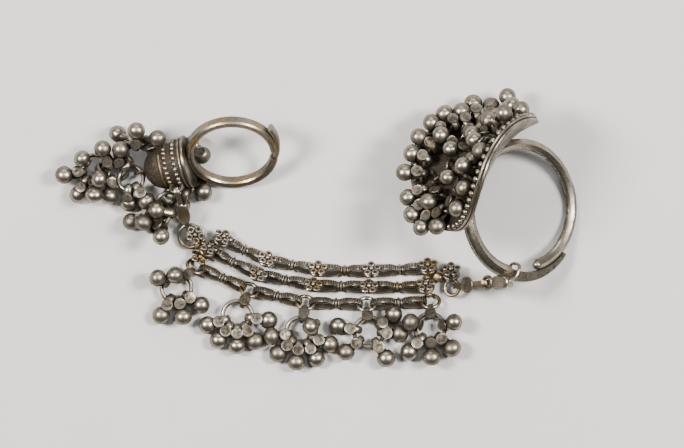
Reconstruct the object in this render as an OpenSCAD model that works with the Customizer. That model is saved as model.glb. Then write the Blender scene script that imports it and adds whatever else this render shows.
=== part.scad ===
// Linked pair of toe rings lying on their sides, millimetres, Z up from the floor.
// X runs along the chains from the small ring to the big one, Y runs across them.

/* [Big toe ring] */
// centre of the big ring
big_at = [36.6, 3.64, 8.42]; // [-60:0.01:60]
// lean of the big ring about Y, degrees
big_lean = 38; // [20:1:50]
// radius of the band's centre line
big_r = 11.9; // [9:0.1:14]
// thickness of the band outwards from the toe
band_t = 2.0; // [1:0.1:3]
// width of the band along the toe
band_w = 1.8; // [1:0.1:4]
// radius of the end that is bent inwards
inner_end_r = 10.8; // [9:0.1:12]
// how far the band's round part lies from the ring's centre
band_shift = [0.35, -0.2]; // [-1:0.05:1]

/* [Saddle plate] */
// place of the plate's middle round the ring, degrees
plate_turn = 139; // [90:1:180]
// radius of the plate along its length
plate_r = 22.6; // [16:0.1:30]
// outer face of the plate's middle, from the ring's centre
plate_face = 13.25; // [12:0.05:15]
// radius of the flare across the plate
flare_r = 14.5; // [12:0.1:25]
// half length of the plate
plate_l = 13.3; // [10:0.1:16]
// half width of the plate
plate_w = 11.3; // [8:0.1:13]
// sheet thickness
sheet_t = 0.8; // [0.4:0.1:1.5]
// number of granules round the border
rim_granules = 64; // [30:1:90]

/* [Small toe ring] */
// centre of the small ring
small_at = [-15.5, 13.9, 6.72]; // [-60:0.01:60]
// lean of the small ring about X, degrees
small_lean = 45; // [20:1:60]
// radius of the small band's centre line
small_r = 7.7; // [6:0.1:9]
// place of the bezel round the small ring, degrees
bezel_turn = 197.2; // [180:0.1:220]
// radius of the bezel's flange
flange_r = 4.85; // [4:0.05:6]
// radius of the bezel's drum
drum_r = 3.75; // [3:0.05:5]
// radius of the drum at its foot
drum_foot_r = 4.35; // [4:0.05:5]
// granules in one row round the drum
drum_granules = 24; // [12:1:36]

/* [Ball drops] */
// radius of the ball
ball_r = 1.53; // [1:0.01:2]
// distance from the hook's centre to the ball's
drop_l = 2.95; // [2:0.05:4]
// radius of the hole that the jump ring runs through
hook_hole = 0.52; // [0.5:0.01:0.8]
// thickness of the hook's wire
hook_t = 0.62; // [0.4:0.01:1]
// width of the hook's wire
hook_w = 0.85; // [0.5:0.01:1.5]
// radius of the cut disc at the hook's end
disc_r = 0.95; // [0.6:0.05:1.3]
// radius of the jump rings' wire
wire_r = 0.34; // [0.2:0.01:0.5]
// radius of the ring of a bunch
bunch_r = 2.7; // [2:0.1:4]

// half the clear height inside a bail's strap
bail_h = 0.58; // [0.5:0.01:0.8]
// thickness of a bail's strap
bail_t = 0.4; // [0.2:0.01:0.6]

/* [Chains] */
// height of the chain rings above the floor
chain_z = 1.3; // [1:0.01:2]
// roll of the chains about their run, degrees
chain_roll = 20; // [0:1:30]
// radius of a rosette ring's centre line
ring_r = 1.35; // [1:0.05:2]
// radius of a lower ring's centre line, for the bails
plain_r = 1.6; // [1:0.05:2.5]
// radius of the chain rings' wire
ring_wire = 0.3; // [0.2:0.01:0.5]
// width of the ribbed eyes
eye_w = 1.15; // [0.8:0.05:2]
// half height of the ribbed eyes
eye_h = 1.1; // [0.8:0.05:2]
// how far an eye reaches past the ring wire that it holds
eye_end = 1.0; // [0.9:0.01:1.1]

/* [Hidden] */
$fn = 48;

silver = [0.66, 0.64, 0.60];
dark_silver = [0.50, 0.48, 0.44];
warm_silver = [0.62, 0.56, 0.46];

// height of an eyelet's top wire over the plate
eyelet_top = 1.95;
eyelet_r = 1.15;
eyelet_wire = 0.27;

// loops on the bezel: turn about its axis, distance from the axis, height, radius
TURN = 0;
OUT = 1;
HEIGHT = 2;
SIZE = 3;
bail_loop = [165, 4.75, 11.0, 1.1];
trio_loop = [140, 4.75, 12.7, 1.1];
cap_loop = [44, 0, 17.35, 1.15];
top_loop = [-54.3, 5.1, 15.1, 1.1];
front_loop = [124.6, 4.95, 9.9, 1.0];
low_loop = [88.7, 4.95, 9.8, 1.0];
back_loop = [-19.4, 3.9, 7.3, 1.0];
bezel_loops = [bail_loop, trio_loop, cap_loop, top_loop, front_loop, low_loop, back_loop];
loop_wire = 0.28;
drum_z = 8.6;
drum_h = 5;
granule_r = 0.38;

// the cap's ball: its centre along the bezel's axis, and its radius
cap_z = 12.7;
cap_r = 3.98;

// the plate's drops: along in degrees, across in mm, heading and rise in degrees
ALONG = 0;
ACROSS = 1;
HEADING = 2;
RISE = 3;
plate_drop_rows = [
    [-18.1, -3.7, 140, 17],
    [-10.7, -4.7, 112, 13],
    [4.4, 0.2, 89, 12],
    [16.4, 2.7, 70, 9],
    [23.5, 2.0, 55, 8],
    [27.7, -1.4, -2, 9],
    [20.3, -3.4, -7, 41],
    [29.3, -4.1, -26, 13],
    [25.4, -6.0, -41, 6],
    [20.1, -7.1, -51, 7],
    [13.6, -8.4, -75, 11],
    [7.3, -8.8, -89, 10],
    [1.7, -9.0, -97, 20],
    [-6.3, -9.0, -95, 11],
    [-11.7, -8.4, -102, 15],
    [-2.4, -5.6, -92, 46],
    [-14.7, -6.6, -121, 20],
    [-21.1, -6.7, -123, 14],
    [-23.7, -4.5, -141, 12],
    [-0.8, -1.2, -57, 42],
    [10.7, 1.4, -19, 45],
    [-31.2, -3.0, -139, 57],
    [-18, 6, 168, 8],
    [-10, 8.2, 120, 25],
    [10, 4.5, 72, 45],
    [-6, 4.5, 0, 45],
    [-2, 7.2, 24, 8],
    [-22, 2.5, 168, 45],
    [-10, 2.5, 192, 45],
    [-6, -3, 96, 45]
];

// the drops of a bunch: angle round its ring and rise of the ball, degrees
ANGLE = 0;
LIFT = 1;
bunch_at = [[-25.7, -10.8], [-14.6, -15.9], [-3.0, -18.85], [9.4, -18.85], [20.5, -18.2]];
bunch_drops = [
    [[241, 0], [283, 20], [325, 15], [152, 66], [96, 98]],
    [[197, 0], [232, 0], [269, 10], [305, 5], [352, 0]],
    [[188, 20], [223, 0], [261, 8], [300, 0], [337, 0], [30, 104]],
    [[169, 0], [221, 15], [303, 12], [357, 10], [36, 18]],
    [[228, 0], [273, 35], [318, 25], [15, 50], [162, 68]]
];
// the chain rings, left to right
upper_at = [[-17.45, -2.1], [-9.25, -5.8], [0, -7.55], [9.8, -7.75], [20.1, -7.2]];
middle_at = [[-20.1, -3.9], [-10.8, -8.45], [-0.8, -10.35], [9.35, -10.65], [19.7, -10.65]];
lower_at = [[-22.2, -6.9], [-12.45, -11.2], [-2.2, -13.5], [8.9, -13.8], [20.6, -13.3]];

// where the right bail holds the hook's eye, and the radius of that eye
hook_foot = [30.2, -9.9, 7.2];
hook_eye_r = 1.1;
hook_wire = 0.27;
// corners of the wire round the band, in the big ring's frame
function round_band(r, turn, z) = [r * cos(turn), r * sin(turn), z];
hook_route = [round_band(13.9, 254, 1.35), round_band(12.6, 260.5, 1.6), round_band(10.5, 264.5, 1.35),
              round_band(10.3, 265, -1.2), round_band(13.85, 265, -1.2), round_band(13.9, 262, 0.3),
              round_band(13.9, 254, 1.35)];

function oval(a, b, power, n) = [for (i = [0:n - 1])
    let (t = 360 * i / n, c = cos(t), s = sin(t))
    [a * sign(c) * pow(abs(c), 2 / power), b * sign(s) * pow(abs(s), 2 / power)]];

function ribbed(a, b, ribs, depth) = [for (i = [0:2 * ribs - 1])
    let (t = 180 * i / ribs, k = i % 2 == 0 ? 0 : depth)
    [(a - k) * cos(t), (b - k) * sin(t)]];

function slot(l, r, n) = concat(
    [for (i = [0:n]) [-r * sin(180 * i / n), r * cos(180 * i / n)]],
    [for (i = [0:n]) [l + r * sin(180 * i / n), -r * cos(180 * i / n)]]);

module torus(r, wire) {
    rotate_extrude()
        translate([r, 0])
            circle(r = wire);
}

// a band section with a ridge on each side
module ridged_arc(r, t, w, from, to) {
    rotate([0, 0, from])
        rotate_extrude(angle = to - from)
            translate([r, 0])
                polygon([[0, w / 2], [-t / 2, w * 0.2], [-t / 2, -w * 0.2],
                         [0, -w / 2], [t / 2, -w * 0.2], [t / 2, w * 0.2]]);
}

module flat_arc(r, t, w, from, to) {
    rotate([0, 0, from])
        rotate_extrude(angle = to - from)
            translate([r, 0])
                polygon([[-t / 2, w * 0.36], [-t * 0.3, w / 2], [t * 0.3, w / 2], [t / 2, w * 0.36],
                         [t / 2, -w * 0.36], [t * 0.3, -w / 2], [-t * 0.3, -w / 2], [-t / 2, -w * 0.36]]);
}

// one ball drop: hook centre at the origin, jump ring along Y, ball down, disc facing X
module drop() {
    hook_r = hook_hole + hook_t / 2;
    rotate([90, 0, 0])
        rotate([0, 0, -20])
            rotate_extrude(angle = 215)
                translate([hook_r, 0])
                    square([hook_t, hook_w], center = true);
    translate([0.45, 0, -0.8])
        rotate([0, 90, 0])
            cylinder(r1 = 0.5, r2 = disc_r, h = 0.45);
    translate([0.9, 0, -0.8])
        rotate([0, 90, 0])
            cylinder(r = disc_r, h = 0.28);
    translate([-0.4, 0, -0.55])
        rotate([0, 170, 0])
            cylinder(r1 = 0.55, r2 = 0.85, h = 1.7);
    translate([0, 0, -drop_l])
        sphere(r = ball_r);
}

// drops round a ring in XY; an entry of rows is [angle, rise]
module drops_round(rows, r) {
    for (row = rows)
        rotate([0, 0, row[ANGLE]])
            translate([r, 0, 0])
                rotate([0, -row[LIFT], 0])
                    rotate([0, -90, 0])
                        drop();
}

module bunch(rows, r) {
    torus(r, wire_r);
    drops_round(rows, r);
}

// a strap bent round two wires that run along Y, the first at the origin
module bail(l, w) {
    rotate([90, 0, 0])
        translate([0, 0, -w / 2])
            linear_extrude(w)
                difference() {
                    polygon(slot(l, bail_h + bail_t, 10));
                    polygon(slot(l, bail_h, 10));
                }
}

// a strap from point p to point q, with its children on its upper side at p
module bail_between(p, q, slack, w) {
    d = q - p;
    l = norm(d);
    translate(p)
        rotate([0, -asin(d[2] / l), atan2(d[1], d[0])])
            translate([-slack / 2, 0, 0]) {
                bail(l + slack, w);
                translate([0, 0, bail_h + bail_t - 0.12])
                    children();
            }
}

module rosette() {
    cylinder(r = 1.15, h = 0.25);
    for (i = [0:4])
        rotate([0, 0, 90 + 72 * i])
            translate([1.2, 0, 0.32])
                torus(0.43, 0.21);
    translate([0, 0, 0.3])
        sphere(r = 0.5);
}

// a chain ring; with a rosette it has a stem that carries it over the eyes
module chain_ring(r, flower, shift) {
    torus(r, ring_wire);
    if (flower) {
        translate([0, shift > 0 ? r : -r, 0])
            cylinder(r = 0.38, h = 1.3);
        translate([0, shift, 1.22])
            rosette();
    }
}

module ribbed_eye(from, to) {
    half = (to - from) / 2;
    translate([from + half, 0, 0])
        rotate([90, 0, 0])
            translate([0, 0, -eye_w / 2])
                linear_extrude(eye_w)
                    difference() {
                        polygon(ribbed(half, eye_h, 24, 0.1));
                        polygon(oval(half - 0.4, 0.68, 2.4, 24));
                    }
}

// a double-eye link centred between two chain rings of radius r that are pitch apart
module double_eye(pitch, r) {
    for (side = [0, 1])
        mirror([side, 0, 0])
            ribbed_eye(0.2, pitch / 2 - r + eye_end);
    rotate([0, 90, 0])
        cylinder(r = 0.82, h = 0.5, center = true);
}

module link_between(p, q, r) {
    d = q - p;
    translate([(p[0] + q[0]) / 2, (p[1] + q[1]) / 2, chain_z])
        rotate([0, 0, atan2(d[1], d[0])])
            rotate([-chain_roll, 0, 0])
                double_eye(norm(d), r);
}

// one chain row: the inner rings and all links; its end rings belong to the terminals
module chain_row(at, r, flower, shift) {
    for (i = [1:len(at) - 2]) {
        d = at[i + 1] - at[i - 1];
        translate([at[i][0], at[i][1], chain_z])
            rotate([0, 0, atan2(d[1], d[0])])
                rotate([-chain_roll, 0, 0])
                    chain_ring(r, flower, shift);
    }
    for (i = [0:len(at) - 2])
        link_between(at[i], at[i + 1], r);
}

module end_ring(p, turn, r, flower, shift) {
    translate([p[0], p[1], chain_z])
        rotate([0, 0, turn])
            rotate([-chain_roll, 0, 0])
                chain_ring(r, flower, shift);
}

module solder(p, r, z0, z1) {
    translate([p[0], p[1], z0])
        cylinder(r = r, h = z1 - z0);
}

// big toe ring, in its own frame: the toe along Z

module plate_sheet(z0, z1) {
    translate([plate_face - plate_r, 0, 0])
        rotate([0, 0, -45])
            rotate_extrude(angle = 90)
                translate([plate_r + flare_r, 0])
                    intersection() {
                        difference() {
                            circle(r = flare_r - z0);
                            circle(r = flare_r - z1);
                        }
                        translate([-flare_r * 1.1, -plate_w - 0.5])
                            square([flare_r * 0.9, 2 * plate_w + 1]);
                    }
}

module plate_outline(inset) {
    rotate([0, 90, 0])
        rotate([0, 0, 90])
            linear_extrude(40)
                polygon(oval(plate_l - inset, plate_w - inset, 2.4, 72));
}

module on_plate(along, across) {
    tilt = asin(across / flare_r);
    rho = plate_r + flare_r - flare_r * cos(tilt);
    translate([plate_face - plate_r, 0, 0])
        rotate([0, 0, along])
            translate([rho, 0, across])
                rotate([0, tilt, 0])
                    children();
}

module saddle_plate() {
    intersection() {
        plate_sheet(-sheet_t, 0);
        plate_outline(0);
    }
    intersection() {
        plate_sheet(-0.2, 0.6);
        difference() {
            plate_outline(0);
            plate_outline(0.65);
        }
    }
    intersection() {
        plate_sheet(-0.2, 0.45);
        difference() {
            plate_outline(0.8);
            plate_outline(1.1);
        }
    }
    for (i = [0:rim_granules - 1]) {
        t = 360 * i / rim_granules;
        s = (plate_l - 1.8) * sign(cos(t)) * pow(abs(cos(t)), 2 / 2.4);
        a = (plate_w - 1.8) * sign(sin(t)) * pow(abs(sin(t)), 2 / 2.4);
        tilt = asin(a / flare_r);
        rho = plate_r + flare_r - flare_r * cos(tilt);
        on_plate(asin(s / rho), a)
            translate([0.06, 0, 0])
                rotate([0, 90, 0])
                    sphere(r = 0.42);
    }
}

module eyelets() {
    for (row = plate_drop_rows)
        on_plate(row[ALONG], row[ACROSS])
            rotate([row[HEADING], 0, 0])
                translate([eyelet_top - eyelet_r, 0, 0])
                    rotate([90, 0, 0])
                        torus(eyelet_r, eyelet_wire);
}

module outer_end() {
    intersection() {
        translate([0, 0, -0.65])
            linear_extrude(1.3)
                difference() {
                    translate([0.5, -0.2])
                        circle(r = 13.2);
                    translate([1.5, -0.4])
                        circle(r = 11.05);
                }
        translate([0, 0, -1])
            linear_extrude(2)
                polygon([[0, 0], [-4, -18], [9, -22], [17, -16]]);
    }
}

module big_ring_frame() {
    translate(big_at)
        rotate([0, big_lean, 0])
            children();
}

module big_toe_ring() {
    color(silver)
        big_ring_frame() {
            translate([1.45, 0.2, 0]) {
                ridged_arc(inner_end_r, band_t, band_w, -75, 20);
                rotate([0, 0, -75])
                    translate([inner_end_r, 0, 0])
                        sphere(r = 0.86);
            }
            translate(band_shift)
                ridged_arc(big_r, band_t, band_w, 12, 190);
            ridged_arc(big_r - 0.1, band_t + 0.5, band_w + 0.4, 187, 259);
            outer_end();
            rotate([0, 0, plate_turn]) {
                saddle_plate();
                eyelets();
            }
        }
}

module plate_drops() {
    color(dark_silver)
        big_ring_frame()
            rotate([0, 0, plate_turn])
                for (row = plate_drop_rows)
                    on_plate(row[ALONG], row[ACROSS])
                        rotate([row[HEADING], 0, 0])
                            translate([eyelet_top, 0, 0])
                                rotate([0, 0, -row[RISE]])
                                    rotate([90, 0, 0])
                                        drop();
}

// small toe ring

module small_ring_frame() {
    translate(small_at)
        rotate([small_lean, 0, 0])
            children();
}

// the bezel's frame: Z out of the drum, X towards the camera's side
module bezel_frame() {
    small_ring_frame()
        rotate([0, 0, bezel_turn])
            rotate([0, 90, 0])
                children();
}

module bezel() {
    translate([0, 0, 8.1])
        cylinder(r = flange_r, h = 0.55);
    translate([0, 0, drum_z])
        cylinder(r1 = drum_foot_r, r2 = drum_r, h = drum_h);
    translate([0, 0, drum_z + 0.3])
        torus(drum_foot_r - 0.1, 0.3);
    translate([0, 0, drum_z + 2.5])
        torus(drum_foot_r - 0.3, 0.2);
    translate([0, 0, drum_z + drum_h - 0.1])
        torus(drum_r - 0.08, 0.3);
    for (row = [0:1])
        for (i = [0:drum_granules - 1])
            rotate([0, 0, 360 * (i + 0.3 + row / 2) / drum_granules])
                translate([drum_foot_r - 0.22 - 0.27 * row, 0, drum_z + 1.4 + 2.2 * row])
                    sphere(r = granule_r);
    translate([0, 0, cap_z])
        sphere(r = cap_r);
}

module at_loop(at) {
    rotate([0, 0, at[TURN]])
        translate([at[OUT], 0, at[HEIGHT]])
            rotate([90, 0, 0])
                children();
}

module small_toe_ring() {
    color(silver) {
        small_ring_frame() {
            flat_arc(small_r, 1.4, 2.0, 5, 350);
            translate([-0.06, 1.7, 0])
                flat_arc(8.3, 0.9, 1.7, -17, 33);
        }
        bezel_frame() {
            bezel();
            for (at = bezel_loops)
                at_loop(at)
                    torus(at[SIZE], loop_wire);
            rotate([0, 0, top_loop[TURN]])
                translate([3.0, 0, top_loop[HEIGHT]])
                    rotate([0, 90, 0])
                        cylinder(r = 0.4, h = 1.1);
        }
    }
}

// three linked rings that spread out from the loop on the cap
module cap_cluster() {
    color(dark_silver) {
        translate([-33.98, 9.11, 2.95])
            rotate([-14, -9, 0])
                bunch([[262, -50], [306, -20]], 2.3);
        translate([-36.91, 10.41, 3.08])
            rotate([43, 8, 0])
                bunch([[167, 74], [256, 61], [119, -22], [83, -4], [42, -100]], 2.4);
        translate([-40.63, 10.73, 2.41])
            rotate([-11, -7, 0])
                bunch([[193, 24], [235, -26], [274, 39], [143, 96]], 2.7);
    }
}

module top_cluster() {
    color(dark_silver)
        translate([-32.83, 15.54, 4.36])
            rotate([96, 19, 0])
                bunch([[112, -61], [238, -26], [58, -25]], 2.0);
}

module side_trio() {
    color(dark_silver) {
        translate([-27.62, 5.25, 3.88])
            rotate([44, 33, 0])
                torus(1.8, wire_r);
        translate([-29.03, 2.44, 3.27])
            rotate([-18, -32, 0])
                bunch([[196, 15], [248, 89], [298, 28], [6, 116]], 2.5);
    }
}

// single drops on the loops beside and behind the flange
module flange_drops() {
    color(dark_silver)
        bezel_frame() {
            at_loop(front_loop)
                drops_round([[35, 30]], front_loop[SIZE]);
            at_loop(low_loop)
                drops_round([[-62, -53]], low_loop[SIZE]);
            at_loop(back_loop)
                drops_round([[-154, -72]], back_loop[SIZE]);
        }
}

// chains and terminals

module left_bail() {
    color(warm_silver)
        bail_between([-25.56, 6.58, 7.32], [-23.8, 0.65, 1.9], 0.4, 0.8)
            translate([4.9, 0, 0])
                linear_extrude(0.35)
                    polygon(oval(2.5, 1.2, 1.6, 24));
}

module left_terminal() {
    color(warm_silver) {
        translate([-23.2, -1.36, 1.5])
            rotate([15, 0, -30]) {
                torus(2.1, ring_wire);
                translate([0.9, 1.3, 0])
                    cylinder(r = 0.38, h = 1.2);
                translate([0.7, 1.1, 1.15])
                    rosette();
            }
        end_ring(upper_at[0], -30, ring_r, true, -0.5);
        end_ring(middle_at[0], -30, ring_r, true, -0.5);
        end_ring(lower_at[0], -25, plain_r, true, 1.1);
        solder([-21.6, -2.9], 0.85, 0.6, 2.0);
        solder([-21.15, -5.4], 0.8, 0.6, 2.0);
        solder([-18.95, -2.75], 0.55, 0.6, 1.8);
    }
}

module upper_chain() {
    color(silver)
        chain_row(upper_at, ring_r, true, -0.9);
}

module middle_chain() {
    color(dark_silver)
        chain_row(middle_at, ring_r, true, -1.3);
}

module lower_chain() {
    color(silver)
        chain_row(lower_at, plain_r, false, 0);
}

module right_terminal() {
    color(warm_silver) {
        end_ring(upper_at[4], 4, ring_r, true, -0.7);
        end_ring(middle_at[4], 0, ring_r, true, -0.7);
        end_ring(lower_at[4], 4, plain_r, false, 0);
        end_ring([24.3, -8.3], 0, ring_r, true, -0.3);
        translate([24.5, -10.8, 1.7])
            rotate([0, -25, 0])
                torus(1.4, ring_wire);
        solder([20.0, -8.9], 0.7, 0.6, 2.0);
        solder([22.0, -8.8], 1.0, 0.6, 2.2);
        solder([23.8, -9.5], 0.5, 0.7, 2.2);
        solder([20.2, -12.0], 0.6, 0.6, 2.0);
    }
}

// the strap from the last ring of the chains to the eye of the hook
module right_bail() {
    color(warm_silver)
        bail_between([25.72, -10.4, 2.25], hook_foot, 0.4, 0.9)
            translate([3.0, 0, 0])
                cylinder(r = 1.25, h = 0.35);
}

// a wire from point p towards q, with a round corner at p
module rod(p, q, r) {
    d = q - p;
    translate(p) {
        rotate([0, acos(d[2] / norm(d)), atan2(d[1], d[0])])
            cylinder(r = r, h = norm(d));
        sphere(r = 1.15 * r);
    }
}

// the hook's wire goes over the band, down inside it and back up outside it
module band_hook() {
    top = hook_route[0];
    run = big_at - hook_foot + [top[0] * cos(big_lean) + top[2] * sin(big_lean), top[1],
                                top[2] * cos(big_lean) - top[0] * sin(big_lean)];
    l = norm(run);
    color(silver) {
        big_ring_frame()
            for (i = [0:len(hook_route) - 2])
                rod(hook_route[i], hook_route[i + 1], hook_wire);
        translate(hook_foot)
            rotate([0, -asin(run[2] / l), atan2(run[1], run[0])]) {
                translate([hook_eye_r, 0, 0])
                    torus(hook_eye_r, 0.32);
                translate([l / 2 + hook_eye_r, 0, -0.2])
                    linear_extrude(0.4)
                        polygon(oval(l / 2 - hook_eye_r + 0.1, 1.0, 1.7, 24));
            }
    }
}

module bunch_on_floor(i) {
    color(dark_silver)
        translate([bunch_at[i][0], bunch_at[i][1], ball_r])
            bunch(bunch_drops[i], bunch_r);
}

module bunch_bail(i) {
    d = (bunch_at[i] - lower_at[i]) / norm(bunch_at[i] - lower_at[i]);
    p = lower_at[i] + plain_r * d;
    q = bunch_at[i] - bunch_r * d;
    color(warm_silver)
        bail_between([p[0], p[1], chain_z + plain_r * sin(chain_roll)], [q[0], q[1], ball_r], 0.3, 0.85)
            cylinder(r = disc_r, h = 0.45);
}

module bunch_bail_1() {
    bunch_bail(0);
}

module bunch_bail_2() {
    bunch_bail(1);
}

module bunch_bail_3() {
    bunch_bail(2);
}

module bunch_bail_4() {
    bunch_bail(3);
}

module bunch_bail_5() {
    bunch_bail(4);
}

module bunch_1() {
    bunch_on_floor(0);
}

module bunch_2() {
    bunch_on_floor(1);
}

module bunch_3() {
    bunch_on_floor(2);
}

module bunch_4() {
    bunch_on_floor(3);
}

module bunch_5() {
    bunch_on_floor(4);
}

big_toe_ring();
small_toe_ring();
plate_drops();
cap_cluster();
top_cluster();
side_trio();
flange_drops();
left_bail();
left_terminal();
upper_chain();
middle_chain();
lower_chain();
right_terminal();
right_bail();
band_hook();
bunch_bail_1();
bunch_bail_2();
bunch_bail_3();
bunch_bail_4();
bunch_bail_5();
bunch_1();
bunch_2();
bunch_3();
bunch_4();
bunch_5();
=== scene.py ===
import math
import random
import bmesh
import bpy
from mathutils import Matrix, Vector


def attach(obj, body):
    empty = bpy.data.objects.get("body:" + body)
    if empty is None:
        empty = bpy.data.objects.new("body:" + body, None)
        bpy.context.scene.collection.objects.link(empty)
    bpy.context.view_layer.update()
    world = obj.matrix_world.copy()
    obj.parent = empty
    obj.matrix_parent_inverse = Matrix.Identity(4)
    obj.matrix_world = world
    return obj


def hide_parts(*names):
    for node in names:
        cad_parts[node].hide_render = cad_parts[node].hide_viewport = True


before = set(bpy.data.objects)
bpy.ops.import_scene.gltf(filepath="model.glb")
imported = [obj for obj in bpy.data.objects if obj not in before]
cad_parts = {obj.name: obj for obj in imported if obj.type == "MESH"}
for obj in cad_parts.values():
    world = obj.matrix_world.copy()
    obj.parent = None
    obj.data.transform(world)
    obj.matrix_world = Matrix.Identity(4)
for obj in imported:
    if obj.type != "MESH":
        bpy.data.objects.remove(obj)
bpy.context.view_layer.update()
print("frame loaded")

mm = 0.001
rng = random.Random(11)


# places, in millimetres and degrees, as in the part's source

def move(x, y, z):
    return Matrix.Translation((x, y, z))


def turn(a, b, c):
    return (Matrix.Rotation(math.radians(c), 4, "Z") @ Matrix.Rotation(math.radians(b), 4, "Y")
            @ Matrix.Rotation(math.radians(a), 4, "X"))


bigRing = {"at": (36.6, 3.64, 8.42), "lean": 38, "plateTurn": 139, "plateR": 22.6, "plateFace": 13.25,
           "flareR": 14.5, "eyeletTop": 1.95}
smallRing = {"at": (-15.5, 13.9, 6.72), "lean": 45, "bezelTurn": 197.2}

bigFrame = move(*bigRing["at"]) @ turn(0, bigRing["lean"], 0)
plateFrame = bigFrame @ turn(0, 0, bigRing["plateTurn"])
smallFrame = move(*smallRing["at"]) @ turn(smallRing["lean"], 0, 0)
bezelFrame = smallFrame @ turn(0, 0, smallRing["bezelTurn"]) @ turn(0, 90, 0)


def flare(across):
    # the plate's tilt and its radius at a distance across from its middle line
    tilt = math.asin(across / bigRing["flareR"])
    return tilt, bigRing["plateR"] + bigRing["flareR"] * (1 - math.cos(tilt))


def onPlate(along, across):
    tilt, rho = flare(across)
    return (plateFrame @ move(bigRing["plateFace"] - bigRing["plateR"], 0, 0) @ turn(0, 0, along)
            @ move(rho, 0, across) @ turn(0, math.degrees(tilt), 0))


# materials

class Sock:
    # a value on its way to a shader: its operators add Math nodes
    def __init__(self, tree, link):
        self.tree = tree
        self.link = link

    def maths(self, kind, a, b):
        made = self.tree.nodes.new("ShaderNodeMath")
        made.operation = kind
        for place, value in enumerate((a, b)):
            if isinstance(value, Sock):
                self.tree.links.new(value.link, made.inputs[place])
            else:
                made.inputs[place].default_value = value
        return Sock(self.tree, made.outputs[0])

    def __add__(self, other):
        return self.maths("ADD", self, other)

    __radd__ = __add__

    def __sub__(self, other):
        return self.maths("SUBTRACT", self, other)

    def __rsub__(self, other):
        return self.maths("SUBTRACT", other, self)

    def __mul__(self, other):
        return self.maths("MULTIPLY", self, other)

    __rmul__ = __mul__

    def atMost(self, other):
        return self.maths("MINIMUM", self, other)

    def atLeast(self, other):
        return self.maths("MAXIMUM", self, other)


class Finish:
    # one material: its nodes are made by node() and joined by name
    def __init__(self, name):
        self.material = bpy.data.materials.new(name)
        self.material.use_nodes = True
        self.tree = self.material.node_tree
        self.shader = next(n for n in self.tree.nodes if n.type == "BSDF_PRINCIPLED")

    def node(self, kind, settings=None, sockets=None, out=0):
        made = self.tree.nodes.new(kind)
        for key, value in (settings or {}).items():
            if key == "stops":
                ramp = made.color_ramp
                while len(ramp.elements) < len(value):
                    ramp.elements.new(0.5)
                for element, (place, colour) in zip(ramp.elements, value):
                    element.position = place
                    element.color = colour
            else:
                setattr(made, key, value)
        for key, value in (sockets or {}).items():
            if isinstance(value, Sock):
                self.tree.links.new(value.link, made.inputs[key])
            else:
                made.inputs[key].default_value = value
        return Sock(self.tree, made.outputs[out])

    def place(self, scale=(1, 1, 1), spin=(0, 0, 0)):
        return self.node("ShaderNodeMapping", None,
                         {"Vector": self.node("ShaderNodeTexCoord", None, None, "Object"), "Scale": scale,
                          "Rotation": spin})

    def noise(self, scale, detail=3.0, rough=0.5, where=None):
        sockets = {"Scale": scale, "Detail": detail, "Roughness": rough, "Vector": where or self.place()}
        return self.node("ShaderNodeTexNoise", None, sockets, "Fac")

    def steps(self, value, low, high):
        return self.node("ShaderNodeMapRange", {"interpolation_type": "SMOOTHSTEP"},
                         {"Value": value, "From Min": low, "From Max": high})

    def mix(self, mask, a, b):
        made = self.tree.nodes.new("ShaderNodeMix")
        made.data_type = "RGBA"
        made.clamp_factor = True
        for key, value in ((0, mask), (6, a), (7, b)):
            if isinstance(value, Sock):
                self.tree.links.new(value.link, made.inputs[key])
            else:
                made.inputs[key].default_value = value if key == 0 else (*value, 1)
        return Sock(self.tree, made.outputs[2])

    def set(self, **values):
        for key, value in values.items():
            socket = self.shader.inputs[key.replace("_", " ")]
            if isinstance(value, Sock):
                self.tree.links.new(value.link, socket)
            else:
                socket.default_value = value


silverLook = {
    "rubbed": (0.385, 0.34, 0.275),
    "dull": (0.100, 0.080, 0.058),
    "patina": (0.023, 0.017, 0.012),
    "stain": (0.30, 0.205, 0.105),
    "bright": (0.93, 0.89, 0.80),
    "broadScale": 260,
    "fineScale": 1500,
    "stainScale": 190,
    "scratchesAlong": (9000, 700, 9000),
    "scratchesAcross": (800, 8000, 8000),
    "crustFrom": 0.20,
    "crustTo": 0.56,
    "bumpHeight": 0.00006,
}


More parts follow.
